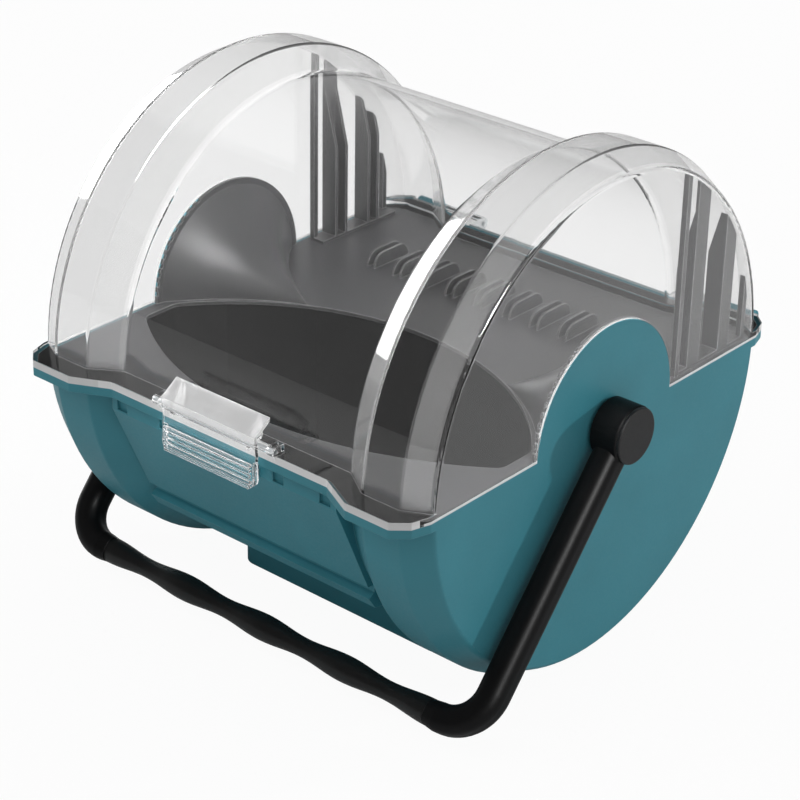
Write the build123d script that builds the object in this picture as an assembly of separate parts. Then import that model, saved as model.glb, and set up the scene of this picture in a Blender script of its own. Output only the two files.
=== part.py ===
from build123d import *
import math
import os

# Saw blade storage case: a drum lying on its side. The lower half is the base, the upper half
# is the clear lid. X runs along the drum, the front is at -Y, Z is up. The origin is at the
# middle of the underside of the foot. Inside this file heights are measured from the drum
# axis, and every piece is lifted by axis_height when it is written. All sizes are in mm.

# drum: half lengths and radii of its outer skin
half_length = 167.0
tread_radius = 175.0
face_radius = tread_radius - 10.0
waist_radius = tread_radius - 14.0
tread_outer_x = half_length - 19.0
tread_inner_x = tread_outer_x - 29.0
waist_half_length = tread_inner_x - 21.0
skin_round = 4.0
base_wall = 3.0
lid_wall = 2.6

# how far the foot stands below the rims, and the height of the drum axis over the floor
foot_drop = 2.0
axis_height = tread_radius + foot_drop

# plan of the flange where the two halves meet, and its thickness on each half
flange_front = waist_radius + 16.0
flange_straight = waist_half_length - 5.0
rim_flange = tread_radius + 15.0
rim_flange_start = tread_inner_x
rim_flange_end = tread_outer_x + 5.0
corner_x = half_length - 4.0
corner_y = face_radius + 16.0
end_y = face_radius + 3.0
flange_round = 3.0
lid_flange = 5.0
base_flange = 6.0

# sloping panels at the front and back of the base: the collar under the flange, then corners
# given as distance out from the skin of the waist and angle below the axis
panel_half_length = waist_half_length - 1.0
collar_y = flange_front - 4.0
collar_foot_z = -17.0
panel_foot = (4.85, 30.43)
groove_top = (-0.04, 31.67)
groove_foot = (2.92, 33.3)
lip_top = (8.74, 33.22)
lip_foot = (9.0, 36.87)
panel_root = (-0.8, 40.95)

# square recesses in the front collar
window_size = 9.0
window_depth = 2.0
window_top_z = -7.0
outer_window_x = waist_half_length - 10.0

# foot
foot_half_length = waist_half_length - 8.0
foot_half_width = 64.0
foot_overlap = 0.73
foot_corner = 9.0
foot_edge = 2.5

# hinge along the back
hinge_y = rim_flange + 3.5
knuckle_radius = 5.0
knuckle_room = 1.5
knuckle_end_gap = 0.3
lid_knuckle_length = 35.7
base_knuckle_length = 25.0
lid_knuckle_start = flange_straight - 5.0
lid_knuckle_end = lid_knuckle_start + lid_knuckle_length
base_knuckle_start = lid_knuckle_end + knuckle_end_gap
base_knuckle_end = base_knuckle_start + base_knuckle_length
hinge_pin_radius = 1.75
hinge_pin_gap = 0.05
pin_head_radius = 2.8
pin_head_length = 1.4

# tray cover: flat deck, a hollow horn that opens towards each end, teeth round its rim, and
# pairs of low fins along the back
tray_gap = 0.2
tray_plate = 2.5
horn_radius = 68.0
horn_length = 78.0
horn_bend_length = 36.0
horn_bend_radius = 26.5
horn_wall_shift = 4.0
tooth_rim_width = 2.0
tooth_height = 1.5
tooth_pitch = 5.5
tooth_count = 12
tooth_first_angle = 6.0
tooth_slot = 3.2
fin_pairs = 9
fin_pitch = 24.0
fin_spacing = 6.5
fin_width = 1.6
fin_height = 10.4
fin_round = 9.5
fin_front_y = horn_radius + 8.0
fin_back_y = fin_front_y + 36.0

# hubs at the two ends of the base, just larger than the rims of the horns
hub_radius = horn_radius + 0.5
hub_gap = 0.5
hub_boss_radius = 17.0
hub_boss_length = 12.0

# mouth of the blade well in the tray cover, and the well tub that hangs under it
mouth_half_length = half_length - 13.0
mouth_front_y = waist_radius - 20.0
mouth_back_y = 20.0
mouth_back_end_y = horn_radius - 8.0
mouth_front_end_y = mouth_back_end_y + 28.0
mouth_round = 9.0
well_wall = 2.5
well_margin = 0.5
well_gap = 0.3
well_front_y = horn_radius - 2.0
well_back_y = horn_radius - 8.0
well_back_half_length = mouth_half_length - 20.0

# comb dividers that stand at the back corners of the tray
divider_outer_x = half_length - 7.0
divider_inner_x = divider_outer_x - 13.0
divider_front_y = horn_radius + 14.0
divider_back_y = face_radius - 4.0
divider_reach = face_radius - 1.0
divider_strip = 2.5
divider_wall = 2.4
divider_posts = (
    (divider_front_y + 13.0, divider_front_y + 26.0),
    (divider_back_y - 31.0, divider_back_y - 19.0),
)
divider_shoulder_z = 70.0
divider_peak_z = 112.0
divider_fin = 4.0
divider_peg_y = (divider_front_y + 8.0, divider_front_y + 37.0, divider_back_y - 10.0)
divider_peg_radius = 1.2
divider_peg_gap = 0.1

# latch: a rocker on a pin across the front of the lid
latch_half_length = 40.0
latch_wall = 2.5
latch_cheek = 3.0
latch_web_inset = 5.5
latch_brow_y = flange_front - 7.0
latch_brow_z = 25.0
latch_heel_y = flange_front - 6.0
latch_heel_z = 10.0
latch_nose_y = flange_front + 7.0
latch_nose_z = 16.0
latch_neck_y = flange_front + 5.8
latch_neck_z = 3.0
latch_tip_y = flange_front + 7.6
latch_tip_z = -20.5
latch_inner_y = flange_front + 3.2
latch_inner_z = 5.0
latch_pivot_y = flange_front + 0.5
latch_pivot_z = 8.3
latch_barrel_radius = 3.0
latch_pin_radius = 1.5
latch_pin_gap = 0.05
latch_ear_start = 46.8
latch_ear_end = 51.8
latch_ear_radius = 3.2
latch_ear_back = flange_front - 7.0
latch_side_gap = 0.3
latch_ribs = 5
latch_rib_height = 1.2
latch_rib_width = 1.8
latch_rib_pitch = 3.7
latch_rib_top_z = -4.0
latch_corner = 7.0
cheek_setback = 1.75
hook_y = flange_front - 1.0
hook_thickness = 2.0
hook_gap = 0.4
keeper_half_length = 34.0
keeper_y = flange_front + 2.5
keeper_height = 5.5

# carrying handle, swinging on the drum axis
arm_x = half_length + 12.4
arm_depth = 19.6
arm_width = 21.0
arm_round = 8.0
handle_reach = rim_flange + 19.0
handle_lean = 40.5
handle_corner = 27.0
handle_taper = 8.0
handle_boss_radius = 19.5
handle_boss_start = half_length + 1.6
handle_boss_end = handle_boss_start + 20.6
handle_boss_edge = 1.5
pocket_radius = 14.5
pocket_floor = handle_boss_end - 8.2
grip_core_radius = 5.5
grip_bore_gap = 0.05
grip_mean_radius = 7.7
grip_swell = 1.25
grip_waves = 4
grip_half_length = half_length - 23.0
grip_steps = 48

# pivot hardware at each end
bush_radius = 9.5
bush_flange_radius = 15.0
bush_side_gap = 0.1
shoulder_radius = 7.0
pivot_gap = 0.05
thread_radius = 5.0
thread_end_x = half_length - 28.0
bolt_head_radius = 11.0
bolt_head_height = 5.0
socket_across = 8.0
socket_depth = 3.0
head_washer_radius = 13.5
wall_washer_radius = 14.0
washer_thickness = 1.45
nut_across = 16.0
nut_height = 8.0
cap_radius = 18.8
cap_disc = 2.2
cap_edge = 0.8
cap_spigot_radius = 14.4
cap_spigot_wall = 1.6
cap_spigot_length = 3.0

# screws driven up through the foot into the well tub
screw_x = foot_half_length - 20.0
screw_y = foot_half_width - 19.0
screw_seat_z = -(waist_radius - 8.0)
screw_radius = 2.0
screw_hole_gap = 0.2
screw_thread_gap = 0.02
screw_boss_radius = 5.5
tub_boss_height = 13.0
screw_reach = 10.0
screw_head_radius = 4.0
screw_head_height = 2.5
screw_recess_radius = 5.0
screw_recess_depth = 3.5
screw_slot_width = 1.0
screw_slot_depth = 1.2

# larger than any piece, for cutting halves
far = 400.0


def block(x0, x1, y0, y1, z0, z1):
    """Box between two corners."""
    return Pos((x0 + x1) / 2, (y0 + y1) / 2, (z0 + z1) / 2) * Box(x1 - x0, y1 - y0, z1 - z0)


def x_rod(radius, x0, x1, y=0.0, z=0.0):
    """Cylinder along X."""
    return Pos((x0 + x1) / 2, y, z) * Rot(0, 90, 0) * Cylinder(radius, x1 - x0)


def z_rod(radius, x, y, z0, z1):
    """Upright cylinder."""
    return Pos(x, y, (z0 + z1) / 2) * Cylinder(radius, z1 - z0)


def x_bar(points, x0, x1):
    """Bar along X whose section is a closed outline of (y, z) points."""
    face = make_face(Polyline(*points, close=True))
    return Pos(x0, 0, 0) * extrude(Plane.YZ * face, x1 - x0)


def mirrored(shape):
    """Mirror image of a shape at the other end of the drum."""
    return mirror(shape, about=Plane.YZ)


def both_ends(shape):
    """A shape and its mirror image at the other end of the drum."""
    return shape + mirrored(shape)


def half_drum(inset, side):
    """Solid half of the drum, above the axis for side 1 and below it for side -1."""
    half = [
        (half_length, face_radius),
        (tread_outer_x, tread_radius),
        (tread_inner_x, tread_radius),
        (waist_half_length, waist_radius),
    ]
    top = half + [(-x, r) for x, r in reversed(half)]
    outline = top + [(x, -r) for x, r in reversed(top)]
    face = fillet(make_face(Polyline(*outline, close=True)).vertices(), skin_round)
    if inset > 0:
        face = offset(face, -inset, kind=Kind.INTERSECTION)
    face = face & Pos(0, far / 2) * Rectangle(2 * far, far)
    body = revolve(face, Axis.X, 360)
    return body & block(-far, far, -far, far, min(0, side * far), max(0, side * far))


def flange_plate(inset, z0, z1):
    """Plate of the flange outline, inset from its edge, between two heights."""
    quarter = [
        (half_length, end_y),
        (corner_x, corner_y),
        (rim_flange_end, rim_flange),
        (rim_flange_start, rim_flange),
        (flange_straight, flange_front),
    ]
    back = quarter + [(-x, y) for x, y in reversed(quarter)]
    outline = back + [(x, -y) for x, y in reversed(back)]
    face = fillet(make_face(Polyline(*outline, close=True)).vertices(), flange_round)
    if inset > 0:
        face = offset(face, -inset, kind=Kind.INTERSECTION)
    return Pos(0, 0, z0) * extrude(face, z1 - z0)


def off_waist(out, angle):
    """Point (y, z) in front, out from the skin of the waist, at an angle below the axis."""
    turn = math.radians(angle)
    radius = waist_radius + out
    return (-radius * math.cos(turn), -radius * math.sin(turn))


def panel_bar(inset):
    """Front panel of the base: collar, sloping face, groove and lip."""
    root = off_waist(*panel_root)
    points = [(root[0], 0.0), (-collar_y, 0.0), (-collar_y, collar_foot_z)]
    if inset == 0:
        points.append(off_waist(*panel_foot))
    points += [off_waist(*groove_top), off_waist(*groove_foot)]
    if inset == 0:
        points.append(off_waist(*lip_top))
    points += [off_waist(*lip_foot), root]
    face = make_face(Polyline(*points, close=True))
    if inset > 0:
        face = offset(face, -inset, kind=Kind.INTERSECTION)
    return extrude(Plane.YZ * face, panel_half_length - inset, both=True)


def foot_block(inset):
    """Foot under the base."""
    x = foot_half_length - inset
    y = foot_half_width - inset
    bottom = -axis_height + inset
    top = foot_overlap + inset - math.sqrt(waist_radius ** 2 - foot_half_width ** 2)
    body = block(-x, x, -y, y, bottom, top)
    body = fillet(body.edges().filter_by(Axis.Z), foot_corner - inset)
    if inset == 0:
        body = fillet(body.faces().sort_by(Axis.Z)[0].edges(), foot_edge)
    return body


def screw_places():
    """Places of the four screws."""
    return [(sx * screw_x, sy * screw_y) for sx in (-1, 1) for sy in (-1, 1)]


def hinge_room(x0, x1):
    """Room in a flange for the other half's knuckles."""
    room = knuckle_room + knuckle_radius
    return both_ends(block(x0, x1, hinge_y - room, hinge_y + room, -room, room))


def knuckle(x0, x1, root_y, z0, z1):
    """Hinge knuckle with the web, from root_y and between two heights, that ties it on."""
    web = block(x0, x1, root_y, hinge_y, z0, z1)
    body = web + x_rod(knuckle_radius, x0, x1, hinge_y)
    return body - x_rod(hinge_pin_radius + hinge_pin_gap, x0 - 1, x1 + 1, hinge_y)


def base_shell():
    """Lower half of the drum with its flange, panels, foot, hubs and hinge knuckles."""
    wall_x = half_length - base_wall
    panels = panel_bar(0) + mirror(panel_bar(0), about=Plane.XZ)
    shell = half_drum(0, -1) + flange_plate(0, -base_flange, 0) + panels + foot_block(0)
    panel_space = panel_bar(base_wall) + mirror(panel_bar(base_wall), about=Plane.XZ)
    shell -= half_drum(base_wall, -1) + panel_space + foot_block(base_wall)
    shell -= flange_plate(base_wall, -tray_plate, 1.0)
    shell += both_ends(x_rod(hub_radius, wall_x, half_length))
    shell += both_ends(x_rod(hub_boss_radius, wall_seat_x(), half_length))
    shell -= both_ends(x_rod(shoulder_radius + pivot_gap, wall_seat_x() - 1, half_length + 1))
    for x, y in screw_places():
        shell += z_rod(screw_boss_radius, x, y, -axis_height + 1, screw_seat_z)
        shell -= z_rod(screw_radius + screw_hole_gap, x, y, -axis_height - 1, screw_seat_z + 1)
        shell -= z_rod(
            screw_recess_radius, x, y, -axis_height - 1, -axis_height + screw_recess_depth
        )
    shell -= hinge_room(lid_knuckle_start - knuckle_end_gap, lid_knuckle_end + knuckle_end_gap)
    shell += both_ends(
        knuckle(base_knuckle_start, base_knuckle_end, rim_flange - base_wall, -base_flange, 0)
    )
    shell += block(
        -keeper_half_length, keeper_half_length, -keeper_y, -collar_y + base_wall / 2,
        collar_foot_z, collar_foot_z + keeper_height,
    )
    ear_x = (latch_ear_start + latch_ear_end) / 2
    half = window_size / 2
    for x in (-outer_window_x, -ear_x, ear_x, outer_window_x):
        shell -= block(
            x - half, x + half, -collar_y - 1, -collar_y + window_depth,
            window_top_z - window_size, window_top_z,
        )
    return shell


def lid_shell():
    """Clear upper half of the drum with its flange, hinge knuckles and latch ears."""
    shell = half_drum(0, 1) + flange_plate(0, 0, lid_flange)
    shell -= half_drum(lid_wall, 1)
    shell -= both_ends(x_rod(hub_radius + hub_gap, half_length - 2 * lid_wall, half_length + 1))
    shell -= hinge_room(base_knuckle_start - knuckle_end_gap, base_knuckle_end + knuckle_room)
    shell += both_ends(
        knuckle(lid_knuckle_start, lid_knuckle_end, tread_radius - lid_wall, 0, lid_flange)
    )
    ear = block(
        latch_ear_start, latch_ear_end, -latch_pivot_y, -latch_ear_back,
        lid_flange / 2, latch_pivot_z + latch_ear_radius,
    )
    ear += x_rod(latch_ear_radius, latch_ear_start, latch_ear_end, -latch_pivot_y, latch_pivot_z)
    shell += both_ends(ear)
    pin_end = latch_ear_end + 1
    bore = latch_pin_radius + latch_pin_gap
    return shell - x_rod(bore, -pin_end, pin_end, -latch_pivot_y, latch_pivot_z)


def hinge_pin():
    """Headed pin of the right hinge."""
    pin = x_rod(hinge_pin_radius, lid_knuckle_start, base_knuckle_end, hinge_y)
    head = x_rod(pin_head_radius, base_knuckle_end, base_knuckle_end + pin_head_length, hinge_y)
    return pin + head


def mouth_face(margin):
    """Plan of the mouth of the blade well, grown by a margin."""
    x = mouth_half_length
    front = ThreePointArc((-x, -mouth_front_end_y), (0, -mouth_front_y), (x, -mouth_front_end_y))
    back = ThreePointArc((x, -mouth_back_end_y), (0, mouth_back_y), (-x, -mouth_back_end_y))
    right = Line((x, -mouth_front_end_y), (x, -mouth_back_end_y))
    left = Line((-x, -mouth_back_end_y), (-x, -mouth_front_end_y))
    face = make_face([front, right, back, left])
    face = fillet(face.vertices(), mouth_round)
    if margin > 0:
        face = offset(face, margin)
    return face


def horn(end_x):
    """Right horn of the tray cover as a solid of revolution, its rim at end_x."""
    rim = (end_x, horn_radius)
    bend = (end_x - horn_bend_length, horn_bend_radius)
    tip = (end_x - horn_length, 0.0)
    face = make_face([ThreePointArc(tip, bend, rim), Polyline(rim, (end_x, 0.0), tip)])
    return revolve(face, Axis.X, 360)


def fin():
    """One upright fin of the back deck, centred on X = 0."""
    bottom = -tray_plate / 2
    height = fin_height - bottom
    middle = (fin_front_y + fin_back_y) / 2
    face = Pos(middle, bottom + height / 2) * Rectangle(fin_back_y - fin_front_y, height)
    face = fillet(face.vertices().sort_by(Axis.Y)[-2:], fin_round)
    return extrude(Plane.YZ * face, fin_width / 2, both=True)


def tooth_slots(x0, x1):
    """Slots between the teeth of one horn."""
    height = 2 * tooth_height
    slot = Pos((x0 + x1) / 2, -horn_radius - height / 2, 0) * Box(x1 - x0, height, tooth_slot)
    slots = [Rot(-tooth_first_angle - tooth_pitch * i, 0, 0) * slot for i in range(tooth_count)]
    return Compound(slots)


def tray_cover():
    """Dark cover over the base: flat deck, horns, toothed rims, fins, well mouth."""
    end_x = half_length - base_wall - tray_gap
    cover = flange_plate(base_wall + tray_gap, -tray_plate, 0)
    ends = horn(end_x) + x_rod(horn_radius + tooth_height, end_x - tooth_rim_width, end_x)
    ends -= tooth_slots(end_x - tooth_rim_width, end_x + 1)
    ends &= block(0, far, -far, far, -tray_plate / 2, far)
    cover += both_ends(ends)
    cover -= both_ends(horn(end_x + horn_wall_shift))
    for i in range(fin_pairs):
        middle = (i - (fin_pairs - 1) / 2) * fin_pitch
        for side in (-1, 1):
            cover += Pos(middle + side * fin_spacing / 2, 0, 0) * fin()
    cover -= Pos(0, 0, -far / 2) * extrude(mouth_face(0), far)
    for peg_x, peg_y in peg_places():
        hole = z_rod(divider_peg_radius + divider_peg_gap, peg_x, peg_y, -tray_plate - 1, 1)
        cover -= both_ends(hole)
    return cover


def well_solid(inset):
    """Blade well, solid, inset from its outer skin."""
    x = well_back_half_length - inset
    y = well_back_y - inset
    plan = mouth_face(well_margin + well_wall - inset)
    plan += Pos(0, (y - well_front_y) / 2) * Rectangle(2 * x, y + well_front_y)
    prism = Pos(0, 0, -far) * extrude(plan, far - tray_plate)
    radius = waist_radius - base_wall - well_gap - inset
    return prism & x_rod(radius, -far, far)


def blade_well():
    """Black tub that holds the blades under the tray cover."""
    tub = well_solid(0)
    inside = well_solid(well_wall)
    tub -= inside + Pos(0, 0, 2 * tray_plate) * inside
    for x, y in screw_places():
        tub += z_rod(screw_boss_radius, x, y, screw_seat_z, screw_seat_z + tub_boss_height)
        tub -= z_rod(screw_radius + screw_thread_gap, x, y, screw_seat_z - 1, screw_seat_z + screw_reach)
    return tub


def peg_places():
    """Places of the pegs under the right divider."""
    middle = (divider_inner_x + divider_outer_x) / 2
    return [(middle, y) for y in divider_peg_y]


def tray_screw(x, y):
    """One screw that holds the well tub down to the foot."""
    seat = -axis_height + screw_recess_depth
    screw = z_rod(screw_radius, x, y, seat, screw_seat_z + screw_reach)
    screw += z_rod(screw_head_radius, x, y, seat - screw_head_height, seat)
    half = screw_slot_width / 2
    slot_top = seat - screw_head_height + screw_slot_depth
    slot = block(x - half, x + half, y - screw_head_radius, y + screw_head_radius,
                 seat - screw_head_height - 1, slot_top)
    return screw - slot


def tray_screws():
    """The four screws of the well tub."""
    return Compound([tray_screw(x, y) for x, y in screw_places()])


def divider_post(y0, y1):
    """Upright channel of a divider, open to the middle of the drum, its sides tapered at the top."""
    web_x = divider_outer_x - divider_wall
    side = [
        (divider_outer_x, 0.0),
        (divider_inner_x, 0.0),
        (divider_inner_x, divider_shoulder_z),
        (web_x, divider_peak_z),
        (web_x, divider_reach),
        (divider_outer_x, divider_reach),
    ]
    plate = extrude(Plane.XZ * make_face(Polyline(*side, close=True)), divider_wall)
    web = block(web_x, divider_outer_x, y0, y1, 0, divider_reach)
    return web + Pos(0, y0 + divider_wall, 0) * plate + Pos(0, y1, 0) * plate


def end_divider():
    """Comb divider at the right end: posts and fins on a strip with pegs."""
    comb = block(
        divider_inner_x, divider_outer_x, divider_front_y, divider_back_y, 0, divider_strip
    )
    for y0, y1 in divider_posts:
        comb += divider_post(y0, y1)
    for y0 in (divider_front_y, divider_back_y - divider_fin):
        comb += block(
            divider_outer_x - divider_fin, divider_outer_x, y0, y0 + divider_fin, 0, divider_reach
        )
    comb &= x_rod(divider_reach, divider_inner_x - 1, divider_outer_x + 1)
    for x, y in peg_places():
        comb += z_rod(divider_peg_radius, x, y, -tray_plate, 1)
    return comb


def latch():
    """Clear rocker latch: hollow hood above the pin, ribbed flap and hook below it."""
    x = latch_half_length
    wall = latch_wall
    outside = [
        (-latch_brow_y, latch_brow_z),
        (-latch_nose_y, latch_nose_z),
        (-latch_neck_y, latch_neck_z),
        (-latch_tip_y, latch_tip_z),
    ]
    inside = [
        (-latch_tip_y + wall, latch_tip_z),
        (-latch_neck_y + wall, latch_neck_z),
        (-latch_nose_y + wall, latch_nose_z - wall / 2),
        (-latch_brow_y, latch_brow_z - wall),
    ]
    hood_web = outside[:3] + [
        (-latch_inner_y, latch_neck_z),
        (-latch_inner_y, latch_inner_z),
        (-latch_heel_y, latch_heel_z),
    ]
    body = x_bar(outside + inside, -x, x)
    web_end = x - latch_web_inset
    body += both_ends(x_bar(hood_web, web_end - latch_cheek, web_end))
    body += both_ends(block(
        x - latch_cheek, x, -latch_tip_y + cheek_setback, -latch_inner_y,
        latch_tip_z, latch_rib_top_z + latch_rib_width / 2,
    ))
    for i in range(latch_ribs):
        z = latch_rib_top_z - i * latch_rib_pitch
        body += block(
            -x + latch_cheek, x - latch_cheek,
            -latch_tip_y - latch_rib_height, -latch_tip_y + wall / 2,
            z - latch_rib_width / 2, z + latch_rib_width / 2,
        )
    body &= latch_outline()
    hook_top = collar_foot_z - hook_gap
    body += block(
        -keeper_half_length, keeper_half_length, -latch_tip_y + wall / 2, -hook_y,
        hook_top - hook_thickness, hook_top,
    )
    barrel_end = latch_ear_start - latch_side_gap
    body += x_rod(latch_barrel_radius, -barrel_end, barrel_end, -latch_pivot_y, latch_pivot_z)
    body += block(
        -x, x, -latch_neck_y + wall / 2, -latch_pivot_y,
        latch_pivot_z - wall / 2, latch_pivot_z + wall / 2,
    )
    bore = latch_pin_radius + latch_pin_gap
    return body - x_rod(bore, -far, far, -latch_pivot_y, latch_pivot_z)


def latch_outline():
    """Front view of the latch, with its lower corners rounded, as a bar through it."""
    height = 2 * latch_brow_z - latch_tip_z
    face = Pos(0, latch_tip_z + height / 2) * Rectangle(2 * latch_half_length, height)
    face = fillet(face.vertices().sort_by(Axis.Y)[:2], latch_corner)
    return extrude(Plane.XZ * face, far)


def latch_pin():
    """Plain pin through the latch and the two ears of the lid."""
    return x_rod(latch_pin_radius, -latch_ear_end, latch_ear_end, -latch_pivot_y, latch_pivot_z)


def tilted(shape):
    """Turn a piece drawn hanging straight down to where the handle rests."""
    return Rot(-handle_lean, 0, 0) * shape


def handle_bail():
    """Carrying handle: two arms with bosses at the hubs, joined by a round bar."""
    section = fillet(Rectangle(arm_depth, arm_width).vertices(), arm_round)
    bend_x = arm_x - handle_corner
    bend_z = -handle_reach + handle_corner
    half = Pos(arm_x, 0, bend_z) * extrude(section, -bend_z)
    bend_axis = Axis((bend_x, 0, bend_z), (0, 1, 0))
    half += revolve(Pos(arm_x, 0, bend_z) * section, bend_axis, 90)
    end = Plane((bend_x, 0, -handle_reach), x_dir=(0, 0, 1), z_dir=(-1, 0, 0)) * section
    half += extrude(end, bend_x - grip_half_length, taper=handle_taper)
    boss = x_rod(handle_boss_radius, handle_boss_start, handle_boss_end)
    half += fillet(boss.edges().filter_by(GeomType.CIRCLE), handle_boss_edge)
    half -= x_rod(bush_radius, handle_boss_start - 1, pocket_floor + 1)
    half -= x_rod(pocket_radius, pocket_floor, handle_boss_end + 1)
    bar = x_rod(grip_core_radius, -grip_half_length - 1, grip_half_length + 1, 0, -handle_reach)
    return tilted(both_ends(half) + bar)


def handle_grip():
    """Wavy sleeve round the bar of the handle."""
    wave = 2 * grip_half_length / grip_waves
    profile = []
    for i in range(grip_steps + 1):
        x = -grip_half_length + 2 * grip_half_length * i / grip_steps
        profile.append((x, grip_mean_radius + grip_swell * math.cos(2 * math.pi * x / wave)))
    ends = [(grip_half_length, 0.0), (-grip_half_length, 0.0)]
    edges = [Spline(*profile), Polyline(profile[-1], *ends, profile[0])]
    sleeve = revolve(make_face(edges), Axis.X, 360)
    sleeve -= x_rod(grip_core_radius + grip_bore_gap, -far, far)
    return tilted(Pos(0, 0, -handle_reach) * sleeve)


def hub_cap():
    """Cap over the right pivot, with a ring that presses into the pocket of the handle."""
    disc = x_rod(cap_radius, handle_boss_end, handle_boss_end + cap_disc)
    disc = fillet(disc.edges().filter_by(GeomType.CIRCLE).sort_by(Axis.X)[-1], cap_edge)
    start = handle_boss_end - cap_spigot_length
    ring = x_rod(cap_spigot_radius, start, handle_boss_end + cap_disc / 2)
    ring -= x_rod(cap_spigot_radius - cap_spigot_wall, start - 1, handle_boss_end)
    return disc + ring


def pivot_bush():
    """Flanged nylon bush in the right boss of the handle."""
    start = half_length + bush_side_gap
    bush = x_rod(bush_radius, handle_boss_start, pocket_floor)
    bush += x_rod(bush_flange_radius, start, handle_boss_start)
    return bush - x_rod(shoulder_radius + pivot_gap, start - 1, pocket_floor + 1)


def head_seat_x():
    """Where the underside of the pivot bolt's head lies along X."""
    return pocket_floor + pivot_gap + washer_thickness


def wall_seat_x():
    """Inner end of the hub boss, where the nut's washer lies."""
    return half_length - base_wall - hub_boss_length


def pivot_bolt():
    """Steel shoulder bolt that the right arm of the handle swings on."""
    head_end = head_seat_x() + bolt_head_height
    bolt = x_rod(shoulder_radius, wall_seat_x(), head_seat_x())
    bolt += x_rod(thread_radius, thread_end_x, wall_seat_x())
    bolt += x_rod(bolt_head_radius, head_seat_x(), head_end)
    socket = Plane.YZ * RegularPolygon(socket_across / 2, 6, major_radius=False)
    return bolt - Pos(head_end - socket_depth, 0, 0) * extrude(socket, bolt_head_height)


def washer(start, outer, bore):
    """Flat washer round the drum axis."""
    end = start + washer_thickness
    return x_rod(outer, start, end) - x_rod(bore, start - 1, end + 1)


def head_washer():
    """Washer under the head of the right pivot bolt."""
    return washer(pocket_floor + pivot_gap, head_washer_radius, shoulder_radius + pivot_gap)


def pivot_washer():
    """Washer between the right hub boss and the nut."""
    return washer(wall_seat_x() - washer_thickness, wall_washer_radius, thread_radius + pivot_gap)


def pivot_nut():
    """Nut of the right pivot bolt."""
    end = wall_seat_x() - washer_thickness
    hexagon = Plane.YZ * RegularPolygon(nut_across / 2, 6, major_radius=False)
    nut = Pos(end - nut_height, 0, 0) * extrude(hexagon, nut_height)
    return nut - x_rod(thread_radius + pivot_gap, end - nut_height - 1, end + 1)


pieces = {
    "base_shell": base_shell(),
    "lid_shell": lid_shell(),
    "tray_cover": tray_cover(),
    "blade_well": blade_well(),
    "tray_screws": tray_screws(),
    "latch": latch(),
    "latch_pin": latch_pin(),
    "handle_bail": handle_bail(),
    "handle_grip": handle_grip(),
}
paired = {
    "end_divider": end_divider(),
    "hinge_pin": hinge_pin(),
    "hub_cap": hub_cap(),
    "pivot_bush": pivot_bush(),
    "pivot_bolt": pivot_bolt(),
    "head_washer": head_washer(),
    "pivot_washer": pivot_washer(),
    "pivot_nut": pivot_nut(),
}
for name, shape in paired.items():
    pieces[name + "_right"] = shape
    pieces[name + "_left"] = mirrored(shape)

os.makedirs("parts", exist_ok=True)
for name, shape in pieces.items():
    export_step(Pos(0, 0, axis_height) * shape, "parts/" + name + ".step")
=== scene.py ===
import bpy
import math
from mathutils import Matrix, Vector

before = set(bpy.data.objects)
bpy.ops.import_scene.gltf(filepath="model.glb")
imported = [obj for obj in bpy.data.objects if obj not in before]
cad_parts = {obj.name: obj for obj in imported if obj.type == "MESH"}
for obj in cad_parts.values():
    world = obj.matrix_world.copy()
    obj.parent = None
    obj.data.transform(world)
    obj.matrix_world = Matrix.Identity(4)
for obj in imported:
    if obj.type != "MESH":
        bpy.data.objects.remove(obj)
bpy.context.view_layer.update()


# ---- Base: the lower half of the drum ----
# One injection moulding in teal ABS, whose spark-eroded skin spreads the highlights to a satin. It
# carries the flange, the sloping front and back panels, the foot, and the hubs that the handle
# swings on.

def linear(code):
    """A colour written as sRGB hex, as linear light with full alpha."""
    parts = [int(code[i:i + 2], 16) / 255 for i in (1, 3, 5)]
    return [p / 12.92 if p <= 0.04045 else ((p + 0.055) / 1.055) ** 2.4 for p in parts] + [1.0]


def add(tree, kind, inputs=(), **settings):
    """A new node. inputs gives each socket, by name or number, a value or another node's output."""
    node = tree.nodes.new(kind)
    for name, value in settings.items():
        setattr(node, name, value)
    for key, value in dict(inputs).items():
        if isinstance(value, bpy.types.NodeSocket):
            tree.links.new(value, node.inputs[key])
        else:
            node.inputs[key].default_value = value
    return node


def new_material(name):
    """An empty node material and its tree."""
    made = bpy.data.materials.new(name)
    made.use_nodes = True
    made.node_tree.nodes.clear()
    return made, made.node_tree


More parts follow.
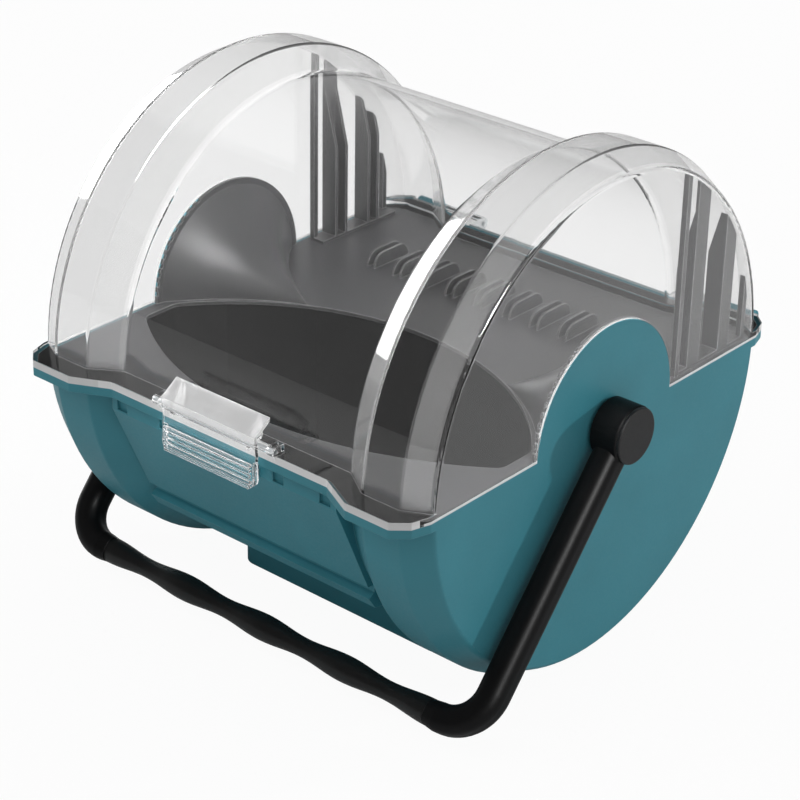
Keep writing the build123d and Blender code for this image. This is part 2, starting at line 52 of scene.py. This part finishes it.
def moulded_plastic(name, colour, edge_highlight_colour, grain_mm, grain_depth_mm, roughness, edge_mm,
                    shine=0.5):
    """Injection-moulded plastic: a textured skin, faint flow mottling in its colour, and a painted
    highlight that lightens its edges. The grain is drawn several times coarser than a real
    spark-eroded skin, which is too fine to show."""
    mottle_mm = 60
    mottling = 0.06
    gloss_change = 0.05
    noise_low, noise_high = 0.3, 0.7
    edge_begins, edge_full = 0.995, 0.8
    made, tree = new_material(name)
    place = add(tree, "ShaderNodeTexCoord")
    mottle = add(tree, "ShaderNodeTexNoise", {
        "Vector": place.outputs["Object"], "Scale": 1000 / mottle_mm, "Detail": 3.0,
        "Roughness": 0.5})
    grain = add(tree, "ShaderNodeTexNoise", {
        "Vector": place.outputs["Object"], "Scale": 1000 / grain_mm, "Detail": 2.0,
        "Roughness": 0.6})
    # the softened normal turns away from the true one only near an edge
    soft = add(tree, "ShaderNodeBevel", {"Radius": edge_mm / 1000}, samples=4)
    surface = add(tree, "ShaderNodeNewGeometry")
    turn = add(tree, "ShaderNodeVectorMath", {
        0: soft.outputs["Normal"], 1: surface.outputs["Normal"]}, operation="DOT_PRODUCT")
    # painted highlight: near an edge the colour is lightened towards the edge colour
    painted_edge_highlight = add(tree, "ShaderNodeMapRange", {
        "Value": turn.outputs["Value"], "From Min": edge_begins, "From Max": edge_full,
        "To Min": 0.0, "To Max": 1.0})
    shade = add(tree, "ShaderNodeMapRange", {
        "Value": mottle.outputs["Fac"], "From Min": noise_low, "From Max": noise_high,
        "To Min": 1 - mottling, "To Max": 1 + mottling})
    plain = add(tree, "ShaderNodeVectorMath", {
        0: linear(colour)[:3], "Scale": shade.outputs["Result"]}, operation="SCALE")
    tint = add(tree, "ShaderNodeMixRGB", {
        "Fac": painted_edge_highlight.outputs["Result"], "Color1": plain.outputs["Vector"],
        "Color2": linear(edge_highlight_colour)})
    gloss = add(tree, "ShaderNodeMapRange", {
        "Value": grain.outputs["Fac"], "From Min": noise_low, "From Max": noise_high,
        "To Min": roughness - gloss_change, "To Max": roughness + gloss_change})
    skin = add(tree, "ShaderNodeBump", {
        "Height": grain.outputs["Fac"], "Normal": soft.outputs["Normal"],
        "Strength": 0.5, "Distance": grain_depth_mm / 1000})
    shader = add(tree, "ShaderNodeBsdfPrincipled", {
        "Base Color": tint.outputs["Color"], "Roughness": gloss.outputs["Result"],
        "Normal": skin.outputs["Normal"], "Specular IOR Level": shine})
    add(tree, "ShaderNodeOutputMaterial", {"Surface": shader.outputs["BSDF"]})
    return made


def dress(material, *names):
    """Give CAD nodes a finish."""
    for name in names:
        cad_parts[name].material_slots[0].material = material


teal_abs = moulded_plastic(
    "teal_abs", "#387e8b", edge_highlight_colour="#5f99a4", grain_mm=1.6, grain_depth_mm=0.05,
    roughness=0.45, edge_mm=0.6, shine=0.3)
dress(teal_abs, "base_shell")


# ---- Tray cover ----
# A dark grey ABS moulding in a recess of the base's flange: the flat deck, a toothed horn towards
# each hub, low fins along the back, and the mouth of the blade well. Its skin is a little smoother
# than the base's, and its edges carry a painted highlight.

grey_abs = moulded_plastic(
    "grey_abs", "#3d3d3e", edge_highlight_colour="#bcbcbc", grain_mm=1.4, grain_depth_mm=0.04,
    roughness=0.36, edge_mm=0.5, shine=0.18)
dress(grey_abs, "tray_cover")


# ---- Comb dividers ----
# Flat combs in a darker ABS, which keep the blades apart at the back corners; their edges carry a
# pale painted highlight. Each is pegged into holes in the tray cover.

comb_abs = moulded_plastic(
    "comb_abs", "#2b2b2c", edge_highlight_colour="#b8b8b8", grain_mm=1.4, grain_depth_mm=0.05,
    roughness=0.32, edge_mm=0.5)
dress(comb_abs, "end_divider_left", "end_divider_right")


# ---- Blade well ----
# A deep tub under the tray's mouth, moulded in black ABS with a plain skin that gives hardly any
# shine. It stands on bosses of the foot and is held there by screws.

black_abs = moulded_plastic(
    "black_abs", "#090909", edge_highlight_colour="#1e1e1e", grain_mm=2.0, grain_depth_mm=0.015,
    roughness=0.55, edge_mm=0.6, shine=0.1)
dress(black_abs, "blade_well")


# ---- Handle: bail, wavy sleeve and hub caps ----
# The bail is glass-filled nylon with a satin skin, the sleeve round its bar is a soft black
# elastomer, and the caps that hide the pivots are a slightly paler plastic.

black_nylon = moulded_plastic(
    "black_nylon", "#0f0f10", edge_highlight_colour="#2b2b2b", grain_mm=1.2, grain_depth_mm=0.04,
    roughness=0.42, edge_mm=1.0, shine=0.13)
dress(black_nylon, "handle_bail")
grip_elastomer = moulded_plastic(
    "grip_elastomer", "#111111", edge_highlight_colour="#2a2a2a", grain_mm=1.5, grain_depth_mm=0.06,
    roughness=0.4, edge_mm=0.6, shine=0.4)
dress(grip_elastomer, "handle_grip")
cap_plastic = moulded_plastic(
    "cap_plastic", "#1d1d1e", edge_highlight_colour="#3a3a3a", grain_mm=1.2, grain_depth_mm=0.04,
    roughness=0.42, edge_mm=0.8, shine=0.25)
dress(cap_plastic, "hub_cap_left", "hub_cap_right")


# ---- Lid: the clear upper half of the drum ----
# Clear polycarbonate from a polished mould, so its faces are smooth, and its cut edges carry a
# painted glint. Its flange lies on the base's, with ears for the latch in front and hinge knuckles
# behind.

def clear_polycarbonate(name, tint, edge_glint_strength, edge_mm):
    """Polished clear plastic with faint flow ripples and a white painted highlight along its sharp
    edges. The second input of its node "haze" takes the places where a piece carries painted
    highlights and painted reflections in milky white, and its node "plastic" holds the tint. Rays
    from the lamps go straight through, as light does in a thin wall."""
    ripple_mm = 70
    ripple_depth_mm = 0.2
    edge_begins, edge_full = 0.98, 0.75
    last_bent_bounce = 5
    made, tree = new_material(name)
    place = add(tree, "ShaderNodeTexCoord")
    ripple = add(tree, "ShaderNodeTexNoise", {
        "Vector": place.outputs["Object"], "Scale": 1000 / ripple_mm, "Detail": 1.0,
        "Roughness": 0.3})
    flow = add(tree, "ShaderNodeBump", {
        "Height": ripple.outputs["Fac"], "Strength": 0.1, "Distance": ripple_depth_mm / 1000})
    soft = add(tree, "ShaderNodeBevel", {"Radius": edge_mm / 1000}, samples=4)
    surface = add(tree, "ShaderNodeNewGeometry")
    turn = add(tree, "ShaderNodeVectorMath", {
        0: soft.outputs["Normal"], 1: surface.outputs["Normal"]}, operation="DOT_PRODUCT")
    # painted highlight: near a sharp edge the plastic turns white instead of clear
    painted_edge_glint = add(tree, "ShaderNodeMapRange", {
        "Value": turn.outputs["Value"], "From Min": edge_begins, "From Max": edge_full,
        "To Min": 0.0, "To Max": edge_glint_strength})
    painted_highlight = add(tree, "ShaderNodeMath", {
        0: painted_edge_glint.outputs["Result"], 1: 0.0}, operation="MAXIMUM", name="painted_highlight")
    clear = add(tree, "ShaderNodeMath", {0: 1.0, 1: painted_highlight.outputs["Value"]}, operation="SUBTRACT")
    plastic = add(tree, "ShaderNodeBsdfPrincipled", {
        "Base Color": linear(tint), "Roughness": 0.02, "IOR": 1.45, "Transmission Weight": 1.0,
        "Normal": flow.outputs["Normal"]}, name="plastic")
    # linked apart from the value above, because the export reads that value as well; the IOR is
    # under polycarbonate's 1.58, which keeps the reflections on the walls faint
    tree.links.new(clear.outputs["Value"], plastic.inputs["Transmission Weight"])
    straight = add(tree, "ShaderNodeBsdfTransparent", {"Color": linear(tint)})
    ray = add(tree, "ShaderNodeLightPath")
    # a ray that has bounced often goes on unbent, which keeps thick edges from turning black
    often = add(tree, "ShaderNodeMath", {
        0: ray.outputs["Ray Depth"], 1: last_bent_bounce}, operation="GREATER_THAN")
    through = add(tree, "ShaderNodeMath", {
        0: ray.outputs["Is Shadow Ray"], 1: often.outputs["Value"]}, operation="MAXIMUM")
    both = add(tree, "ShaderNodeMixShader", {
        0: through.outputs["Value"], 1: plastic.outputs["BSDF"], 2: straight.outputs["BSDF"]})
    add(tree, "ShaderNodeOutputMaterial", {"Surface": both.outputs["Shader"]})
    return made


lid_tint = "#fdfdfd"
lid_plastic = clear_polycarbonate("clear_polycarbonate", lid_tint, edge_glint_strength=0.7, edge_mm=0.6)
tree = lid_plastic.node_tree
place = add(tree, "ShaderNodeTexCoord")
spot = add(tree, "ShaderNodeSeparateXYZ", {"Vector": place.outputs["Object"]})
facing = add(tree, "ShaderNodeSeparateXYZ", {"Vector": place.outputs["Normal"]})
along = add(tree, "ShaderNodeMath", {0: spot.outputs["X"]}, operation="ABSOLUTE")
across = add(tree, "ShaderNodeMath", {0: spot.outputs["Y"]}, operation="ABSOLUTE")

# The flange's rim carries a painted highlight in milky white on its outer side faces: over its
# whole height at the front and back, and only low down at the ends of the drum. Places are in
# metres; the axis is where the flange starts, and the flange's reach is its thickness and half a
# millimetre more.
rim_highlight_strength = 0.7
axis_height = 0.177
flange_reach = 0.0055
front_face_y = 0.1755
end_face_x = 0.1655
end_highlight_top = 0.1788
most_tilt = 0.4
in_flange = add(tree, "ShaderNodeMath", {
    0: spot.outputs["Z"], 1: axis_height, 2: flange_reach}, operation="COMPARE")
tilt = add(tree, "ShaderNodeMath", {0: facing.outputs["Z"]}, operation="ABSOLUTE")
upright = add(tree, "ShaderNodeMath", {
    0: tilt.outputs["Value"], 1: most_tilt}, operation="LESS_THAN")
at_front = add(tree, "ShaderNodeMath", {
    0: across.outputs["Value"], 1: front_face_y}, operation="GREATER_THAN")
at_end = add(tree, "ShaderNodeMath", {
    0: along.outputs["Value"], 1: end_face_x}, operation="GREATER_THAN")
low = add(tree, "ShaderNodeMath", {0: spot.outputs["Z"], 1: end_highlight_top}, operation="LESS_THAN")
end_foot = add(tree, "ShaderNodeMath", {
    0: at_end.outputs["Value"], 1: low.outputs["Value"]}, operation="MULTIPLY")
painted_rim_highlight = add(tree, "ShaderNodeMath", {
    0: at_front.outputs["Value"], 1: end_foot.outputs["Value"]}, operation="MAXIMUM")
for factor in (in_flange.outputs["Value"], upright.outputs["Value"], rim_highlight_strength):
    painted_rim_highlight = add(tree, "ShaderNodeMath", {
        0: painted_rim_highlight.outputs["Value"], 1: factor}, operation="MULTIPLY")

# The slopes on both sides of each raised band carry a faint painted reflection, a white veil down
# to the flange, and the band with most of its slopes is a little denser in tint. Spans run outwards
# from the drum's middle.
slope_reflection_strength = 0.13
slope_reflection_bottom = 0.183
band_tint = "#ececec"
spans = {"inner_slope": (0.098, 0.119), "outer_slope": (0.148, 0.163), "band": (0.101, 0.163)}
inside = {}
for span, (start, end) in spans.items():
    inside[span] = add(tree, "ShaderNodeMath", {
        0: along.outputs["Value"], 1: (start + end) / 2, 2: (end - start) / 2},
        operation="COMPARE").outputs["Value"]
painted_slope_reflection = add(tree, "ShaderNodeMath", {
    0: inside["inner_slope"], 1: inside["outer_slope"]}, operation="MAXIMUM")
over_flange = add(tree, "ShaderNodeMath", {
    0: spot.outputs["Z"], 1: slope_reflection_bottom}, operation="GREATER_THAN")
for factor in (over_flange.outputs["Value"], slope_reflection_strength):
    painted_slope_reflection = add(tree, "ShaderNodeMath", {
        0: painted_slope_reflection.outputs["Value"], 1: factor}, operation="MULTIPLY")
painted_light_mask = add(tree, "ShaderNodeMath", {
    0: painted_rim_highlight.outputs["Value"], 1: painted_slope_reflection.outputs["Value"]}, operation="MAXIMUM")
tree.links.new(painted_light_mask.outputs["Value"], tree.nodes["painted_highlight"].inputs[1])
banded = add(tree, "ShaderNodeMixRGB", {
    "Fac": inside["band"], "Color1": linear(lid_tint), "Color2": linear(band_tint)})
tree.links.new(banded.outputs["Color"], tree.nodes["plastic"].inputs["Base Color"])
dress(lid_plastic, "lid_shell")


# ---- Latch ----
# A rocker in the same clear polycarbonate, on a pin across the front of the lid. Its flap is ribbed
# for the fingers, its hook goes under the base's keeper, and its hood carries a faint painted
# reflection in milky white.

hood_reflection_strength = 0.3
hood_middle = 0.198
hood_half = 0.01
latch_plastic = clear_polycarbonate("latch_polycarbonate", "#fdfdfd", edge_glint_strength=0.95, edge_mm=0.55)
tree = latch_plastic.node_tree
place = add(tree, "ShaderNodeTexCoord")
spot = add(tree, "ShaderNodeSeparateXYZ", {"Vector": place.outputs["Object"]})
# painted reflection: the hood's band is made partly white instead of clear
in_hood = add(tree, "ShaderNodeMath", {
    0: spot.outputs["Z"], 1: hood_middle, 2: hood_half}, operation="COMPARE")
painted_light_mask = add(tree, "ShaderNodeMath", {
    0: in_hood.outputs["Value"], 1: hood_reflection_strength}, operation="MULTIPLY")
tree.links.new(painted_light_mask.outputs["Value"], tree.nodes["painted_highlight"].inputs[1])
dress(latch_plastic, "latch")


# ---- Pins, pivots and screws ----
# Zinc-plated steel, turned or headed, with a bright metal shine: it carries the hinges, the latch
# and the handle, and holds the well. The bushes between bail and hub are creamy natural nylon.

def zinc_plated(name):
    """Turned steel with a bright zinc plate: fine rings round the X axis, as a lathe leaves on the
    pins, and faint grey blooms."""
    bloom_mm = 6
    three_rings_mm = 0.8
    ring_depth_mm = 0.05
    made, tree = new_material(name)
    place = add(tree, "ShaderNodeTexCoord")
    bloom = add(tree, "ShaderNodeTexNoise", {
        "Vector": place.outputs["Object"], "Scale": 1000 / bloom_mm, "Detail": 3.0})
    rings = add(tree, "ShaderNodeTexWave", {
        "Vector": place.outputs["Object"], "Scale": 1000 / three_rings_mm, "Distortion": 0.5},
        bands_direction="X")
    colour = add(tree, "ShaderNodeValToRGB", {"Fac": bloom.outputs["Fac"]})
    colour.color_ramp.elements[0].color = linear("#a9adb0")
    colour.color_ramp.elements[1].color = linear("#c9ccce")
    rough = add(tree, "ShaderNodeMapRange", {
        "Value": bloom.outputs["Fac"], "To Min": 0.24, "To Max": 0.4})
    relief = add(tree, "ShaderNodeBump", {
        "Height": rings.outputs["Fac"], "Strength": 0.2, "Distance": ring_depth_mm / 1000})
    shader = add(tree, "ShaderNodeBsdfPrincipled", {
        "Base Color": colour.outputs["Color"], "Metallic": 1.0,
        "Roughness": rough.outputs["Result"], "Normal": relief.outputs["Normal"]})
    add(tree, "ShaderNodeOutputMaterial", {"Surface": shader.outputs["BSDF"]})
    return made


zinc = zinc_plated("zinc_plated_steel")
dress(zinc, "latch_pin", "hinge_pin_left", "hinge_pin_right", "tray_screws")
for part in ("pivot_bolt", "head_washer", "pivot_washer", "pivot_nut"):
    dress(zinc, part + "_left", part + "_right")
nylon = moulded_plastic(
    "natural_nylon", "#c9c7bd", edge_highlight_colour="#dddbd2", grain_mm=1.2, grain_depth_mm=0.03,
    roughness=0.5, edge_mm=0.4)
dress(nylon, "pivot_bush_left", "pivot_bush_right")


# ---- Floor ----
# A plain studio floor of white paper. To the camera and through the clear lid nearly all of it is
# an even glow, and the rest is lit, so that a faint shadow of the case is left in it.

scene = bpy.context.scene
floor_half = 6.0
glow_share = 0.95
corners = [(-floor_half, -floor_half, 0), (floor_half, -floor_half, 0),
           (floor_half, floor_half, 0), (-floor_half, floor_half, 0)]
floor_mesh = bpy.data.meshes.new("floor")
floor_mesh.from_pydata(corners, [], [(0, 1, 2, 3)])
floor = bpy.data.objects.new("floor", floor_mesh)
scene.collection.objects.link(floor)
paper, tree = new_material("white_paper")
lit = add(tree, "ShaderNodeBsdfDiffuse", {"Color": linear("#e8e8e8")})
glow = add(tree, "ShaderNodeEmission", {"Color": linear("#ffffff"), "Strength": 1.0})
ray = add(tree, "ShaderNodeLightPath")
seen = add(tree, "ShaderNodeMath", {
    0: ray.outputs["Is Camera Ray"], 1: ray.outputs["Is Transmission Ray"]}, operation="MAXIMUM")
share = add(tree, "ShaderNodeMath", {
    0: seen.outputs["Value"], 1: glow_share}, operation="MULTIPLY")
mixed = add(tree, "ShaderNodeMixShader", {
    0: share.outputs["Value"], 1: lit.outputs["BSDF"], 2: glow.outputs["Emission"]})
add(tree, "ShaderNodeOutputMaterial", {"Surface": mixed.outputs["Shader"]})
floor_mesh.materials.append(paper)


# ---- Light ----
# Soft studio light: an even pale surround that is brighter to the left in the reflections, a wide
# key light over the front left, a small low one at the back right, and two panels, on the left and
# high on the right, that only the shiny faces show.

lighting_strength = 0.58
seen_strength = 1.0
left_reflection = 0.7
other_reflection = 0.06
world = bpy.data.worlds.new("studio")
scene.world = world
world.use_nodes = True
tree = world.node_tree
tree.nodes.clear()
ray = add(tree, "ShaderNodeLightPath")
direction = add(tree, "ShaderNodeTexCoord")
sideways = add(tree, "ShaderNodeSeparateXYZ", {"Vector": direction.outputs["Generated"]})
# what the shiny faces mirror: brightest where X is -1, at the far left
mirrored_light = add(tree, "ShaderNodeMapRange", {
    "Value": sideways.outputs["X"], "From Min": -1.0, "From Max": -0.75,
    "To Min": left_reflection, "To Max": other_reflection})
for_shiny = add(tree, "ShaderNodeMapRange", {
    "Value": ray.outputs["Is Glossy Ray"], "To Min": lighting_strength,
    "To Max": mirrored_light.outputs["Result"]})
seen = add(tree, "ShaderNodeMath", {
    0: ray.outputs["Is Camera Ray"], 1: ray.outputs["Is Transmission Ray"]}, operation="MAXIMUM")
strength = add(tree, "ShaderNodeMapRange", {
    "Value": seen.outputs["Value"], "To Min": for_shiny.outputs["Result"],
    "To Max": seen_strength})
surround = add(tree, "ShaderNodeBackground", {
    "Color": linear("#ffffff"), "Strength": strength.outputs["Result"]})
add(tree, "ShaderNodeOutputWorld", {"Surface": surround.outputs["Background"]})


def soft_box(name, place, aim, width, height, power, in_reflections):
    """A rectangular lamp, aimed at a point, that either lights the case or shows in its shine."""
    lamp = bpy.data.lights.new(name, "AREA")
    lamp.shape = "RECTANGLE"
    lamp.size = width
    lamp.size_y = height
    lamp.energy = power
    box = bpy.data.objects.new(name, lamp)
    scene.collection.objects.link(box)
    box.location = place
    box.rotation_euler = (Vector(aim) - Vector(place)).to_track_quat("-Z", "Y").to_euler()
    box.visible_glossy = in_reflections
    box.visible_transmission = in_reflections
    box.visible_diffuse = not in_reflections


middle = (0, 0, 0.18)
soft_box("key", place=(-1.2, -1.2, 1.9), aim=middle, width=1.0, height=1.0, power=10,
         in_reflections=False)
soft_box("low_back", place=(2.0, 2.8, 0.65), aim=middle, width=0.1, height=0.1, power=52,
         in_reflections=False)
soft_box("front_panel", place=(1.9, -0.7, 1.4), aim=middle, width=0.8, height=0.8, power=90,
         in_reflections=True)
soft_box("left_panel", place=(-1.3, 0.4, 0.18), aim=(0, 0.4, 0.18), width=0.7, height=0.34,
         power=11, in_reflections=True)


# ---- Camera ----
# Three-quarter view from above the front right, with the latch and the right hub in sight. Angles
# and aim are set round the middle of the drum's axis, and the lens is long.

azimuth = math.radians(40.52)
elevation = math.radians(27.61)
roll = math.radians(1.10)
distance = 1.6308
aim_right = -0.0017
aim_up = -0.0377
turned = Matrix.Rotation(azimuth, 3, "Z") @ Matrix.Rotation(math.pi / 2 - elevation, 3, "X")
stand = Vector((0, 0, axis_height)) + turned @ Vector((aim_right, aim_up, distance))
lens = bpy.data.cameras.new("camera")
lens.sensor_width = 36.0
lens.lens = 110.5
camera = bpy.data.objects.new("camera", lens)
scene.collection.objects.link(camera)
camera.matrix_world = Matrix.Translation(stand) @ (turned @ Matrix.Rotation(roll, 3, "Z")).to_4x4()
scene.camera = camera
scene.view_settings.view_transform = "Standard"
